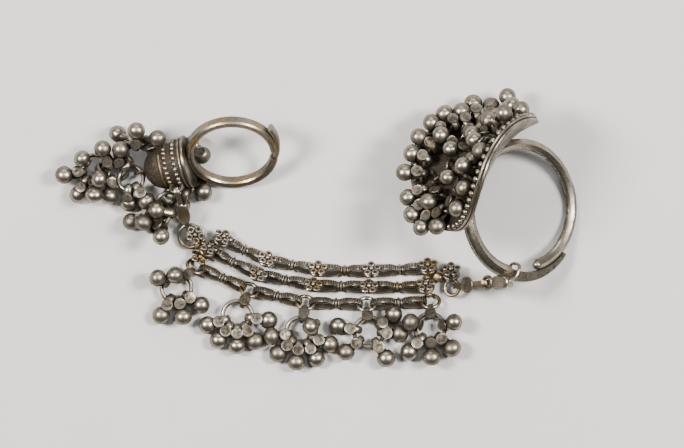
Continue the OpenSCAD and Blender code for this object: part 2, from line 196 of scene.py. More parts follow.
def silverFinish(name, rubbed, grime, stain, gloss, depth, cut=False, side=0.85):
    # depth is how far the dirt of hollows reaches, in mm; cut faces are mottled all over; side is how
    # strongly the sides and undersides are darkened as painted shade
    f = Finish(name)
    look = silverLook
    tone = f.node("ShaderNodeAttribute", {"attribute_name": "tone"}, None, "Fac")
    # the per-point darkness of the shapes: painted shade in holes, grooves and between parts, with some
    # tarnish
    soot = f.node("ShaderNodeAttribute", {"attribute_name": "soot"}, None, "Fac")
    broad = f.noise(look["broadScale"], 3)
    fine = f.noise(look["fineScale"], 4, 0.6)
    scratchA = f.noise(1, 2, 0.5, f.place(look["scratchesAlong"], (0.3, 0.2, 0.5)))
    scratchB = f.noise(1, 2, 0.5, f.place(look["scratchesAcross"], (0.9, 0.4, -0.7)))
    hollow = 1 - f.node("ShaderNodeAmbientOcclusion", {"samples": 8}, {"Distance": depth * mm}, "AO")
    facing = f.node("ShaderNodeVectorMath", {"operation": "DOT_PRODUCT"},
                    {0: f.node("ShaderNodeNewGeometry", None, None, "Normal"), 1: (0, 0, 1)}, "Value")
    under = f.steps(1 - facing, 0.22, 0.95)    # painted shade: the sides and undersides are darkened by the way they face
    spread = 1.0 if cut else 0.2
    speckle = ((fine - 0.5) * 0.9 + (broad - 0.5) * 0.45) * (hollow * 2 + soot + spread).atMost(1)
    # patina in hollows and speckles, together with painted shade from the per-point darkness and from the
    # sides
    patinaAndShade = hollow * grime + soot * 0.62 + speckle + under * 0.05 + (0.14 if cut else 0.03)
    crustAndShade = f.steps(patinaAndShade, look["crustFrom"], look["crustTo"])
    # random dullness, plus a little painted shade on the sides and undersides
    dullnessAndShade = f.steps(broad + (fine - 0.5) * 0.5 + tone * 0.15 + under * 0.10, 0.40, 0.74)
    patches = f.noise(look["stainScale"], 2, 0.5, f.place((1, 1, 1), (1.1, 0.3, 0.2)))
    stains = f.steps(patches + hollow * 0.12, 0.62 - 0.22 * stain, 0.86 - 0.22 * stain)
    body = f.mix(dullnessAndShade * 0.6, [c * rubbed for c in look["rubbed"]], look["dull"])
    body = f.mix(stains * min(1.0, 0.35 + stain), body, look["stain"])
    # painted shade: the sides and undersides are mixed towards a darker copy of the dull colour, as strongly
    # as side says
    body = f.mix(under * side, body, [c * 0.35 for c in look["dull"]])
    body = f.mix(crustAndShade * 0.94, body, look["patina"])
    wear = f.steps(scratchA, 0.60, 0.75) + f.steps(scratchB, 0.62, 0.78)
    body = f.mix((wear * 0.14).atMost(0.3), body, look["bright"])
    relief = broad * 1.2 + fine * (0.9 if cut else 0.35) + wear * 0.2
    bump = f.node("ShaderNodeBump", None,
                  {"Strength": 0.5 if cut else 0.32, "Distance": look["bumpHeight"], "Height": relief})
    f.set(Base_Color=body, Metallic=1 - crustAndShade * 0.45, Specular_IOR_Level=0.25, Normal=bump,
          Roughness=(gloss + dullnessAndShade * 0.12 + crustAndShade * 0.3 + (fine - 0.5) * 0.12).atLeast(0.12).atMost(0.9))
    return f.material


beadSilver = silverFinish("bead_silver", rubbed=0.84, grime=1.1, stain=0.18, gloss=0.32, depth=2.2)
cutSilver = silverFinish("cut_face_silver", rubbed=0.52, grime=0.5, stain=0.40, gloss=0.38, depth=1.0,
                         cut=True)
bandSilver = silverFinish("band_silver", rubbed=0.88, grime=1.0, stain=0.15, gloss=0.28, depth=1.8, side=0.45)
bezelSilver = silverFinish("bezel_silver", rubbed=0.80, grime=1.2, stain=0.90, gloss=0.30, depth=1.4)
chainSilver = silverFinish("chain_silver", rubbed=1.05, grime=1.3, stain=0.85, gloss=0.29, depth=1.0)
jointSilver = silverFinish("stained_joint_silver", rubbed=0.8, grime=1.2, stain=1.05, gloss=0.33, depth=1.1)
print("materials made")


# shapes: everything is built in millimetres and made metres when it becomes an object

def pour(bm, part):
    # adds the part, a bmesh of its own, to bm
    mesh = bpy.data.meshes.new("part")
    part.to_mesh(mesh)
    part.free()
    bm.from_mesh(mesh)
    bpy.data.meshes.remove(mesh)


def joined(bm, part, place, cutAbove=None, smooth=True):
    # the part is placed, turned right side out and added to bm
    bmesh.ops.remove_doubles(part, verts=part.verts, dist=1e-5)
    for face in part.faces:
        face.material_index = int(cutAbove is not None and face.calc_center_median().z > cutAbove)
        face.smooth = smooth
    bmesh.ops.transform(part, matrix=place, verts=part.verts)
    bmesh.ops.recalc_face_normals(part, faces=part.faces)
    pour(bm, part)


def lathe(bm, profile, steps, place, cutAbove=None, soot=()):
    # a profile of (radius, height) spun round Z; faces higher than cutAbove get the cut finish;
    # the last argument gives how dark each point of the profile is painted: partly painted shade in holes,
    # grooves and between parts, partly tarnish
    part = bmesh.new()
    layer = part.verts.layers.float.new("soot")
    verts = [part.verts.new((r, 0, z)) for r, z in profile]
    for v, dark in zip(verts, soot):
        v[layer] = dark
    edges = [part.edges.new(pair) for pair in zip(verts, verts[1:])]
    bmesh.ops.spin(part, geom=verts + edges, cent=(0, 0, 0), axis=(0, 0, 1), angle=2 * math.pi, steps=steps,
                   use_merge=True)
    joined(bm, part, place, cutAbove)


def loft(bm, rings, place, ends=True, smooth=True, soot=None):
    # loops of as many points each, joined one to the next; ends=None joins the last to the first;
    # the last argument gives how dark each loop is, or each point of each loop: partly painted shade, partly
    # tarnish
    part = bmesh.new()
    layer = part.verts.layers.float.new("soot")
    loops = []
    for at, points in enumerate(rings):
        verts = bmesh.ops.create_circle(part, segments=len(points), radius=1)["verts"]
        loops.append(list({e for v in verts for e in v.link_edges}))
        for number, (v, point) in enumerate(zip(verts, points)):
            v.co = point
            if soot:
                v[layer] = soot[at][number % len(soot[at])]
    pairs = zip(loops, loops[1:] + (loops[:1] if ends is None else []))
    for one, two in pairs:
        bmesh.ops.bridge_loops(part, edges=one + two)
    if ends:
        bmesh.ops.edgeloop_fill(part, edges=loops[0])
        bmesh.ops.edgeloop_fill(part, edges=loops[-1])
    joined(bm, part, place, None, smooth)


def torus(bm, r, wire, place, steps=40, sides=10):
    ring = [(r + wire * math.cos(2 * math.pi * i / sides), wire * math.sin(2 * math.pi * i / sides))
            for i in range(sides)]
    lathe(bm, ring + ring[:1], steps, place)


def sweep(bm, stations, sides, place):
    # a wire through stations of (x, z, heading, half thickness, half width), the width along Y
    part = bmesh.new()
    ring = bmesh.ops.create_circle(part, segments=sides, radius=1)["verts"]
    edges = list({e for v in ring for e in v.link_edges})
    first = list(edges)
    old = None
    for x, z, heading, thick, wide in stations:
        h = math.radians(heading)
        along = Vector((math.cos(h), 0, math.sin(h)))
        out = Vector((-along.z, 0, along.x))
        new = Matrix(((out.x * thick, 0, along.x, x), (0, wide, 0, 0),
                      (out.z * thick, 0, along.z, z), (0, 0, 0, 1)))
        if old:
            made = bmesh.ops.extrude_edge_only(part, edges=edges)["geom"]
            ring = [g for g in made if isinstance(g, bmesh.types.BMVert)]
            edges = [g for g in made if isinstance(g, bmesh.types.BMEdge)]
        bmesh.ops.transform(part, matrix=new @ (old.inverted() if old else Matrix.Identity(4)), verts=ring)
        old = new
    bmesh.ops.edgeloop_fill(part, edges=first)
    bmesh.ops.edgeloop_fill(part, edges=edges)
    joined(bm, part, place)


def finished(bm, name, materials, node):
    # the bmesh as an object of the model that stands for a CAD node
    bmesh.ops.scale(bm, vec=(mm, mm, mm), verts=bm.verts)
    mesh = bpy.data.meshes.new(name)
    bm.to_mesh(mesh)
    bm.free()
    mesh.set_sharp_from_angle(angle=math.radians(38))
    for material in materials:
        mesh.materials.append(material)
    piece = bpy.data.objects.new(name, mesh)
    bpy.context.scene.collection.objects.link(piece)
    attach(piece, "root")
    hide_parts(node)


# ball drops

dropShape = {"ballR": 1.53, "length": 2.95, "stretch": (1, 1.07, 1.05, 1), "discR": 1.08, "discX": 0.72,
             "discZ": -0.80}


def dropMesh(extra):
    # the ball under its neck, the hook over the wire and the cut disc at its end;
    # extra is how much wider the hook's back is
    d = dropShape
    bm = bmesh.new()
    middle = -d["length"]
    ball = [(0, -1.28), (0.42, -1.30), (0.60, -1.42), (0.74, -1.66), (0.98, -1.86)]
    for a in (50, 64, 78, 90, 102, 116, 130, 144, 156, 168):
        ball.append((d["ballR"] * math.sin(math.radians(a)), middle + d["ballR"] * math.cos(math.radians(a))))
    ball.append((0, middle - d["ballR"]))
    # painted shade: the ball's neck, where the hook wraps round it, is darkened
    lathe(bm, ball, 24, move(0, 0, middle) @ Matrix.Diagonal(d["stretch"]) @ move(0, 0, -middle), None,
          [0.8, 0.8, 0.9, 0.8, 0.35])
    sweep(bm, [(-0.02, -2.2, 100, 0.92, 1.0), (-0.18, -1.75, 101, 0.78, 0.88),
               (-0.36, -1.30, 107, 0.64, 0.84 + extra), (-0.64, -0.82, 114, 0.50, 0.78 + extra),
               (-0.87, -0.33, 103, 0.45, 0.76 + extra), (-0.91, 0.08, 86, 0.44, 0.75 + extra),
               (-0.75, 0.52, 56, 0.44, 0.74), (-0.41, 0.84, 26, 0.45, 0.73), (0, 0.96, 0, 0.46, 0.72),
               (0.41, 0.84, -26, 0.44, 0.72), (0.74, 0.53, -54, 0.43, 0.72), (0.90, 0.10, -82, 0.43, 0.73),
               (0.88, -0.32, -98, 0.43, 0.74), (0.72, -0.78, -110, 0.44, 0.74)], 14, Matrix.Identity(4))
    rim = d["discR"]
    disc = [(0, 0), (0.42, 0.02), (0.55, 0.10), (0.72, 0.26), (0.88, 0.44), (rim, 0.55), (rim, 0.64),
            (rim - 0.05, 0.73), (rim - 0.12, 0.72), (rim - 0.2, 0.69), (0.5, 0.69), (0, 0.70)]
    # the disc's face is darker towards its middle and its rim is left light
    lathe(bm, disc, 22, move(d["discX"], 0, d["discZ"]) @ turn(0, 90, 0), 0.68,
          [0, 0, 0, 0, 0, 0, 0, 0, 0, 0.28, 0.42, 0.36])
    mesh = bpy.data.meshes.new("drop")
    bm.to_mesh(mesh)
    bm.free()
    return mesh


dropMeshes = [dropMesh(extra) for extra in (0.0, 0.06, -0.04)]


def addDrops(bm, places):
    for place in places:
        part = bmesh.new()
        part.from_mesh(rng.choice(dropMeshes))
        uneven = Matrix.Diagonal((rng.uniform(0.94, 1), rng.uniform(0.95, 1.04), rng.uniform(0.95, 1.04), 1))
        bmesh.ops.transform(part, matrix=place @ uneven, verts=part.verts)
        tone = part.verts.layers.float.new("tone")
        shade = rng.uniform(-1, 1)
        for v in part.verts:
            v[tone] = shade
        pour(bm, part)


def roundRing(place, rows, r):
    # the places of the drops on a jump ring: the angle round it and how far the drop is lifted
    return [place @ turn(0, 0, angle) @ move(r, 0, 0) @ turn(0, -lift, 0) @ turn(0, -90, 0)
            for angle, lift in rows]


def dropPiece(name, node, rings, places=()):
    # rings are (place, rows of (angle, lift), radius, wire)
    bm = bmesh.new()
    for place, rows, r, wire in rings:
        if wire:
            torus(bm, r, wire, place)
        addDrops(bm, roundRing(place, rows, r))
    addDrops(bm, places)
    finished(bm, name, [beadSilver, cutSilver], node)


# along the plate, across it, the way the eyelet faces, and how far the drop is lifted
plateDropRows = [
    (-18.1, -3.7, 140, 17), (-10.7, -4.7, 112, 13), (4.4, 0.2, 89, 12), (16.4, 2.7, 70, 9),
    (23.5, 2.0, 55, 8), (27.7, -1.4, -2, 9), (20.3, -3.4, -7, 41), (29.3, -4.1, -26, 13),
    (25.4, -6.0, -41, 6), (20.1, -7.1, -51, 7), (13.6, -8.4, -75, 11), (7.3, -8.8, -89, 10),
    (1.7, -9.0, -97, 20), (-6.3, -9.0, -95, 11), (-11.7, -8.4, -102, 15), (-2.4, -5.6, -92, 46),
    (-14.7, -6.6, -121, 20), (-21.1, -6.7, -123, 14), (-23.7, -4.5, -141, 12), (-0.8, -1.2, -57, 42),
    (10.7, 1.4, -19, 45), (-31.2, -3.0, -139, 57), (-18, 6, 168, 8), (-10, 8.2, 120, 25),
    (10, 4.5, 72, 45), (-6, 4.5, 0, 45), (-2, 7.2, 24, 8), (-22, 2.5, 168, 45),
    (-10, 2.5, 192, 45), (-6, -3, 96, 45)]
dropPiece("plateDrops", "plate_drops", [],
          [onPlate(along, across) @ turn(heading, 0, 0) @ move(bigRing["eyeletTop"], 0, 0) @ turn(0, 0, -rise)
           @ turn(90, 0, 0) for along, across, heading, rise in plateDropRows])

wireR = 0.40
bunchRingR = 2.7
dropPiece("capDrops", "cap_cluster", [
    (move(-33.98, 9.11, 2.95) @ turn(-14, -9, 0), [(262, -50), (306, -20)], 2.3, wireR),
    (move(-36.91, 10.41, 3.08) @ turn(43, 8, 0),
     [(167, 74), (256, 61), (119, -22), (83, -4), (42, -100)], 2.4, wireR),
    (move(-40.63, 10.73, 2.41) @ turn(-11, -7, 0),
     [(193, 24), (235, -26), (274, 39), (143, 96)], 2.7, wireR)])
dropPiece("topDrops", "top_cluster", [
    (move(-32.83, 15.54, 4.36) @ turn(96, 19, 0), [(112, -61), (238, -26), (58, -25)], 2.0, wireR)])
dropPiece("sideDrops", "side_trio", [
    (move(-27.62, 5.25, 3.88) @ turn(44, 33, 0), [], 1.8, wireR),
    (move(-29.03, 2.44, 3.27) @ turn(-18, -32, 0), [(196, 15), (248, 89), (298, 28), (6, 116)], 2.5, wireR)])


def atLoop(turnZ, out, height):
    return bezelFrame @ turn(0, 0, turnZ) @ move(out, 0, height) @ turn(90, 0, 0)


dropPiece("flangeDrops", "flange_drops", [
    (atLoop(124.6, 4.95, 9.9), [(35, 30)], 1.0, 0),
    (atLoop(88.7, 4.95, 9.8), [(-62, -53)], 1.0, 0),
    (atLoop(-19.4, 3.9, 7.3), [(-154, -72)], 1.0, 0)])

bunchAt = [(-25.7, -10.8), (-14.6, -15.9), (-3.0, -18.85), (9.4, -18.85), (20.5, -18.2)]
bunchRows = [
    [(241, 0), (283, 20), (325, 15), (152, 66), (96, 98)],
    [(197, 0), (232, 0), (269, 10), (305, 5), (352, 0)],
    [(188, 20), (223, 0), (261, 8), (300, 0), (337, 0), (30, 104)],
    [(169, 0), (221, 15), (303, 12), (357, 10), (36, 18)],
    [(228, 0), (273, 35), (318, 25), (15, 50), (162, 68)]]
for number, (at, rows) in enumerate(zip(bunchAt, bunchRows), 1):
    dropPiece("bunchDrops%d" % number, "bunch_%d" % number,
              [(move(*at, dropShape["ballR"]), rows, bunchRingR, wireR)])
print("drops made")


# chains

chain = {"z": 1.3, "roll": 44, "ringR": 1.35, "plainR": 1.6, "wire": 0.34, "collar": 0.42, "ribs": 28,
         "ribDepth": 0.15, "eyeW": 1.28, "eyeH": 1.22, "eyeEnd": 1.0, "eyePower": 2.4, "wall": 0.42,
         "holeH": 0.80, "holePower": 2.7}


def superPoint(a, b, power, t):
    # a point of a softened rectangle with half lengths a and b
    c, k = math.cos(t), math.sin(t)
    return (a * math.copysign(abs(c) ** (2 / power), c), b * math.copysign(abs(k) ** (2 / power), k))


def strapLoop(bm, outer, inner, width, crown, place, smooth=True, soot=(0, 0)):
    # a closed strap: outer and inner are loops of (x, z) with as many points, the width runs along Y
    rings = []
    # painted shade: the inner loops are darkest and the edges a little dark; the last argument darkens the
    # outer points in turn, so chain ribs get dark valleys
    edge = [dark * 0.4 for dark in soot]
    darks = [[1.1], [0.25], edge, soot, soot, edge, [0.25], [1.1]]
    # the inner loops end just inside the outer ones: bridged in one plane, some would be paired backwards
    for points, y, dip in ((inner, -0.34, 0), (inner, -0.49, -0.10), (outer, -0.5, crown), (outer, -0.30, 0),
                           (outer, 0.30, 0), (outer, 0.5, crown), (inner, 0.49, -0.10), (inner, 0.34, 0)):
        cx = sum(x for x, z in points) / len(points)
        ring = []
        for x, z in points:
            far = math.hypot(x - cx, z)
            ring.append((x - (x - cx) / far * dip, y * width, z - z / far * dip))
        rings.append(ring)
    loft(bm, rings, place, None, smooth, darks)


def ovalLoop(x, a, b, power, count, ribs=0.0):
    points = []
    for i in range(count):
        shrink = ribs if i % 2 else 0
        dx, z = superPoint(a - shrink, b - shrink, power, 2 * math.pi * i / count)
        points.append((x + dx, z))
    return points


def chainLink(bm, place, pitch, r):
    reach = pitch / 2 - r + chain["eyeEnd"]
    half = (reach - chain["collar"]) / 2
    count = 2 * chain["ribs"]
    for side in (-1, 1):
        middle = side * (chain["collar"] + half)
        outer = ovalLoop(middle, half, chain["eyeH"], chain["eyePower"], count, chain["ribDepth"])
        hole = ovalLoop(middle, half - chain["wall"], chain["holeH"], chain["holePower"], count)
        strapLoop(bm, outer, hole, chain["eyeW"], 0.16, place, False, (0, 0.8))
    collars = [(0, -0.72), (0.62, -0.70), (0.82, -0.58), (0.84, -0.44), (0.66, -0.30), (0.98, -0.20),
               (1.10, 0), (0.98, 0.20), (0.66, 0.30), (0.84, 0.44), (0.82, 0.58), (0.62, 0.70), (0, 0.72)]
    # painted shade in the collar's grooves and at its ends, where it meets the straps
    lathe(bm, collars, 20, place @ turn(0, 90, 0), None,
          [0.5, 0.4, 0, 0, 0.95, 0.1, 0, 0.1, 0.95, 0, 0, 0.4, 0.5])


def twistedRing(bm, r, wire, place, turns=9, steps=36):
    # a small ring of two twisted wires
    part = bmesh.new()
    torus(part, r, wire, Matrix.Identity(4), steps, 8)
    for v in part.verts:
        u = math.atan2(v.co.y, v.co.x)
        middle = Vector((math.cos(u) * r, math.sin(u) * r, 0))
        off = v.co - middle
        w = math.atan2(off.z, off.dot(middle.normalized()))
        v.co = middle + off * (1 + 0.17 * math.cos(2 * w + turns * u))
    joined(bm, part, place)


def granule(bm, r, place, steps=12):
    lathe(bm, [(r * math.sin(math.radians(a)), r * math.cos(math.radians(a))) for a in range(0, 181, 30)],
          steps, place)


def rosette(bm, place):
    # painted shade: the rosette's top is darkened under its petals and boss
    lathe(bm, [(0, 0), (1.10, 0.0), (1.16, 0.08), (1.14, 0.20), (1.05, 0.24), (0, 0.22)], 24, place, None,
          [0.5, 0.5, 0.5, 0.7, 1, 1])
    for i in range(5):
        petal = place @ turn(0, 0, 90 + 72 * i) @ move(1.16, 0, 0.34)
        twistedRing(bm, 0.48, 0.20, petal)
        # painted shade: a dark flat disc inside each petal ring fills its hole
        lathe(bm, [(0, 0), (0.5, 0)], 12, petal @ move(0, 0, -0.06), None, [1.6, 1.2])
    granule(bm, 0.46, place @ move(0, 0, 0.44))


def chainRing(bm, place, r, flower, shift):
    torus(bm, r, chain["wire"], place, 32, 10)
    if flower:
        stem = r if shift > 0 else -r
        lathe(bm, [(0, 0), (0.42, 0), (0.34, 0.5), (0.42, 1.25), (0, 1.3)], 10, place @ move(0, stem, 0))
        rosette(bm, place @ move(0, shift, 1.22))


def rolled(x, y, heading):
    return move(x, y, chain["z"]) @ turn(0, 0, heading) @ turn(-chain["roll"], 0, 0)


def headingOf(p, q):
    return math.degrees(math.atan2(q[1] - p[1], q[0] - p[0]))


def chainRow(name, node, at, r, flower, shift):
    bm = bmesh.new()
    for before, p, after in zip(at, at[1:], at[2:]):
        chainRing(bm, rolled(*p, headingOf(before, after)), r, flower, shift)
    for p, q in zip(at, at[1:]):
        chainLink(bm, rolled((p[0] + q[0]) / 2, (p[1] + q[1]) / 2, headingOf(p, q)), math.dist(p, q), r)
    finished(bm, name, [chainSilver, cutSilver], node)


upperAt = [(-17.45, -2.1), (-9.25, -5.8), (0, -7.55), (9.8, -7.75), (20.1, -7.2)]
middleAt = [(-20.1, -3.9), (-10.8, -8.45), (-0.8, -10.35), (9.35, -10.65), (19.7, -10.65)]
lowerAt = [(-22.2, -6.9), (-12.45, -11.2), (-2.2, -13.5), (8.9, -13.8), (20.6, -13.3)]
chainRow("upperChain", "upper_chain", upperAt, chain["ringR"], True, -0.9)
chainRow("middleChain", "middle_chain", middleAt, chain["ringR"], True, -1.3)
chainRow("lowerChain", "lower_chain", lowerAt, chain["plainR"], False, 0)


def solderLump(bm, x, y, r, low, high):
    tall = (high - low) / 2
    part = bmesh.new()
    bmesh.ops.create_icosphere(part, subdivisions=3, radius=1)
    for v in part.verts:
        v.co *= 1 + 0.10 * math.sin(5 * v.co.x + 3 * x) * math.cos(4 * v.co.y + y)
    joined(bm, part, move(x, y, low + tall) @ Matrix.Diagonal((r * 1.1, r * 1.1, tall * 1.05, 1)))


def leftTerminal():
    bm = bmesh.new()
    ring = move(-23.2, -1.36, 1.5) @ turn(15, 0, -30)
    torus(bm, 2.1, chain["wire"], ring, 40, 10)
    lathe(bm, [(0, 0), (0.40, 0), (0.40, 1.2), (0, 1.2)], 10, ring @ move(0.9, 1.3, 0))
    rosette(bm, ring @ move(0.7, 1.1, 1.15))
    chainRing(bm, rolled(*upperAt[0], -30), chain["ringR"], True, -0.5)
    chainRing(bm, rolled(*middleAt[0], -30), chain["ringR"], True, -0.5)
    chainRing(bm, rolled(*lowerAt[0], -25), chain["plainR"], True, 1.1)
    for lump in ((-21.6, -2.9, 0.85, 0.6, 2.0), (-21.15, -5.4, 0.8, 0.6, 2.0),
                 (-18.95, -2.75, 0.55, 0.6, 1.8)):
        solderLump(bm, *lump)
    finished(bm, "leftTerminal", [jointSilver, cutSilver], "left_terminal")


def rightTerminal():
    bm = bmesh.new()
    chainRing(bm, rolled(*upperAt[4], 4), chain["ringR"], True, -0.7)
    chainRing(bm, rolled(*middleAt[4], 0), chain["ringR"], True, -0.7)
    chainRing(bm, rolled(*lowerAt[4], 4), chain["plainR"], False, 0)
    chainRing(bm, rolled(24.3, -8.3, 0), chain["ringR"], True, -0.3)
    torus(bm, 1.4, chain["wire"], move(24.5, -10.8, 1.7) @ turn(0, -25, 0), 32, 10)
    for lump in ((20.0, -8.9, 0.7, 0.6, 2.0), (22.0, -8.8, 1.0, 0.6, 2.2), (23.8, -9.5, 0.5, 0.7, 2.2),
                 (20.2, -12.0, 0.6, 0.6, 2.0)):
        solderLump(bm, *lump)
    finished(bm, "rightTerminal", [jointSilver, cutSilver], "right_terminal")


leftTerminal()
rightTerminal()

# straps between the rings

strap = {"h": 0.58, "t": 0.42, "discR": 1.05, "discThick": 0.45, "slack": 0.3, "width": 0.95,
         # the straps stand where the rings of the part's own source are, rolled by this much
         "ringRoll": 20}


def slotLoop(length, r, n=10):
    left = [(-r * math.sin(math.pi * i / n), r * math.cos(math.pi * i / n)) for i in range(n + 1)]
    right = [(length + r * math.sin(math.pi * i / n), -r * math.cos(math.pi * i / n)) for i in range(n + 1)]
    return left + right


def aimed(p, q):
    # X along the way from p to q
    d = Vector(q) - Vector(p)
    return move(*p) @ turn(0, -math.degrees(math.asin(d.z / d.length)), math.degrees(math.atan2(d.y, d.x)))


def strapBetween(bm, p, q, slack, width):
    # returns the place of the strap's start, so that a disc can be set on it
    length = math.dist(p, q) + slack
    place = aimed(p, q) @ move(-slack / 2, 0, 0)
    strapLoop(bm, slotLoop(length, strap["h"] + strap["t"]), slotLoop(length, strap["h"]), width, 0.09, place)
    return place @ move(0, 0, strap["h"] + strap["t"] - 0.12)


def cutDisc(bm, r, thick, place):
    profile = [(0, 0), (r * 0.9, 0), (r, 0.1), (r, thick - 0.08), (r - 0.06, thick), (r - 0.13, thick - 0.02),
               (r * 0.5, thick - 0.03), (0, thick - 0.03)]
    # the disc's face is darker towards its middle and its rim is left light
    lathe(bm, profile, 24, place, thick - 0.035, [0, 0, 0, 0, 0, 0.25, 0.4, 0.4])


for number, (at, hold) in enumerate(zip(bunchAt, lowerAt), 1):
    bm = bmesh.new()
    d = (Vector(at) - Vector(hold)).normalized()
    start = Vector(hold) + chain["plainR"] * d
    stop = Vector(at) - bunchRingR * d
    lift = chain["z"] + chain["plainR"] * math.sin(math.radians(strap["ringRoll"]))
    top = strapBetween(bm, (start.x, start.y, lift), (stop.x, stop.y, dropShape["ballR"]), strap["slack"],
                       strap["width"])
    cutDisc(bm, strap["discR"], strap["discThick"], top)
    finished(bm, "bunchStrap%d" % number, [jointSilver, cutSilver], "bunch_bail_%d" % number)
print("chains and straps made")


# the big toe ring

def arcBar(bm, section, r, start, stop, place, steps=60, sectionShade=(0,)):
    # a bar of the given section of (out, up) bent round Z; the last argument is how dark each point of the
    # section is painted, as painted shade along its facets
    rings = []
    for i in range(steps + 1):
        a = math.radians(start + (stop - start) * i / steps)
        rings.append([((r + x) * math.cos(a), (r + x) * math.sin(a), z) for x, z in section])
    loft(bm, rings, place, True, True, [sectionShade] * len(rings))


def ridged(t, w):
    # a bar's section with a ridge on its upper and lower side and softened corners
    return [(0, w / 2), (-t * 0.25, w * 0.36), (-t * 0.46, w * 0.22), (-t / 2, w * 0.12), (-t / 2, -w * 0.12),
            (-t * 0.46, -w * 0.22), (-t * 0.25, -w * 0.36), (0, -w / 2), (t * 0.25, -w * 0.36),
            (t * 0.46, -w * 0.22), (t / 2, -w * 0.12), (t / 2, w * 0.12), (t * 0.46, w * 0.22),
            (t * 0.25, w * 0.36)]


plate = {"l": 13.3, "w": 11.3, "granules": 60, "granuleR": 0.57, "power": 2.4, "around": 128,
         # how far in from the edge, how high over the sheet, and how dark it is painted: darkest over the
         # sheet's middle, with painted shade in the groove at the rim's edge
         "profile": [(12.5, 0, 1.1), (9, 0, 1.1), (6, 0, 1.0), (4, 0, 0.9), (2.4, 0, 0.8), (1.5, 0.12, 0.6),
                     (1.2, 0.45, 0.5), (0.9, 0.62, 0.7), (0.55, 0.66, 0.9), (0.36, 0.60, 0.9),
                     (0.26, 0.46, 0.7), (0.10, 0.44, 0.1), (0, 0.30, 0), (0, 0.10, 0), (0.08, -0.02, 0.4),
                     (0.20, -0.12, 0.95),
                     (0.20, -0.20, 0.95), (0.08, -0.28, 0.3), (0, -0.38, 0), (0, -0.62, 0), (0.12, -0.78, 0),
                     (1.2, -0.8, 0.1), (3.5, -0.8, 0.25), (7, -0.8, 0.4), (12.5, -0.8, 0.5)]}


def platePoint(along, across, height):
    # along and across in mm from the plate's middle, height over the sheet
    tilt, rho = flare(across)
    angle = math.asin(along / rho)
    reach = rho + height * math.cos(tilt)
    return (bigRing["plateFace"] - bigRing["plateR"] + reach * math.cos(angle), reach * math.sin(angle),
            across - height * math.sin(tilt))


def plateRing(inset, height):
    l, w = plate["l"] - inset, plate["w"] - inset
    if inset > 11:
        l, w = 0.8, 0.6
    return [platePoint(*superPoint(l, w, plate["power"], 2 * math.pi * (i + 0.5) / plate["around"]), height)
            for i in range(plate["around"])]


def roundWire(r):
    return [(r * math.cos(math.pi * i / 4), r * math.sin(math.pi * i / 4)) for i in range(8)]


# the eyelets of lost drops; the first three still hold a bent hook
emptyEyelets = [(12, -2.5, 20), (14.5, -5.4, 60), (-14.2, 4.4, 10), (6, -4.3, 100), (-26.5, -0.4, 150),
                (17, 0, 130), (-27, 4.6, 60)]
crescent = {"start": 256, "span": 66, "steps": 40, "outerR": 13.2, "innerR": 11.05, "half": 0.62}
# painted shade on the ridged section: darkest on its inner face, lighter on the outer face, lightest at the
# upper ridge
ridgeShading = [0, 0.08, 0.30, 0.50, 0.50, 0.40, 0.25, 0.25, 0.35, 0.45, 0.45, 0.35, 0.22, 0.04]


def bigToeRing():
    bm = bmesh.new()
    inner = bigFrame @ move(1.45, 0.2, 0)
    arcBar(bm, ridged(2.0, 1.8), 10.8, -75, 20, inner, 60, ridgeShading)
    granule(bm, 0.88, inner @ turn(0, 0, -75) @ move(10.8, 0, 0) @ turn(90, 0, 0), 16)
    arcBar(bm, ridged(2.0, 1.8), 11.9, 12, 190, bigFrame @ move(0.35, -0.2, 0), 90, ridgeShading)
    arcBar(bm, ridged(2.5, 2.2), 11.8, 187, 259, bigFrame, 60, ridgeShading)
    rings = []
    for i in range(crescent["steps"] + 1):    # the flat outer end thins to its tip
        share = i / crescent["steps"]
        a = math.radians(crescent["start"] + crescent["span"] * share)
        c, k = math.cos(a), math.sin(a)
        outer = 0.5 * c - 0.2 * k + math.sqrt(max(0, crescent["outerR"] ** 2 - (0.5 * k + 0.2 * c) ** 2))
        within = 1.5 * c - 0.4 * k + math.sqrt(max(0, crescent["innerR"] ** 2 - (1.5 * k + 0.4 * c) ** 2))
        within = min(within + 0.5 * share ** 3, outer - 0.35)
        half = crescent["half"] * (1 - 0.3 * share ** 4)
        rings.append([(x * c, x * k, z) for x, z in (
            (within, -half * 0.6), (within, half * 0.6), (within + 0.12, half), (outer - 0.12, half),
            (outer, half * 0.6), (outer, -half * 0.6), (outer - 0.12, -half), (within + 0.12, -half))])
    # the flat outer end is painted a little lighter than the rest of the band: a painted highlight
    loft(bm, rings, bigFrame, True, True, [[-0.1]] * len(rings))
    loft(bm, [plateRing(inset, height) for inset, height, dark in plate["profile"]], plateFrame, True, True,
         [[dark] for inset, height, dark in plate["profile"]])
    for i in range(plate["granules"]):
        t = 2 * math.pi * i / plate["granules"]
        s, a = superPoint(plate["l"] - 0.60, plate["w"] - 0.60, plate["power"], t)
        granule(bm, plate["granuleR"], plateFrame @ move(*platePoint(s, a, 0.80)) @ turn(0, 90, 0), 10)
    for along, across, turned in [row[:3] for row in plateDropRows] + emptyEyelets:
        stand = onPlate(along, across) @ turn(turned, 0, 0) @ move(0.8, 0, 0) @ turn(90, 0, 0)
        torus(bm, 1.15, 0.30, stand, 28, 8)
    for along, across, turned in emptyEyelets[:3]:
        arcBar(bm, roundWire(0.33), 1.2, 40, 330, onPlate(along, across) @ turn(turned + 75, 0, 0)
               @ move(2.55, 0.2, 0) @ turn(80, 20, 0), 24)
    finished(bm, "bigToeRing", [bandSilver], "big_toe_ring")


bigToeRing()

# the small toe ring

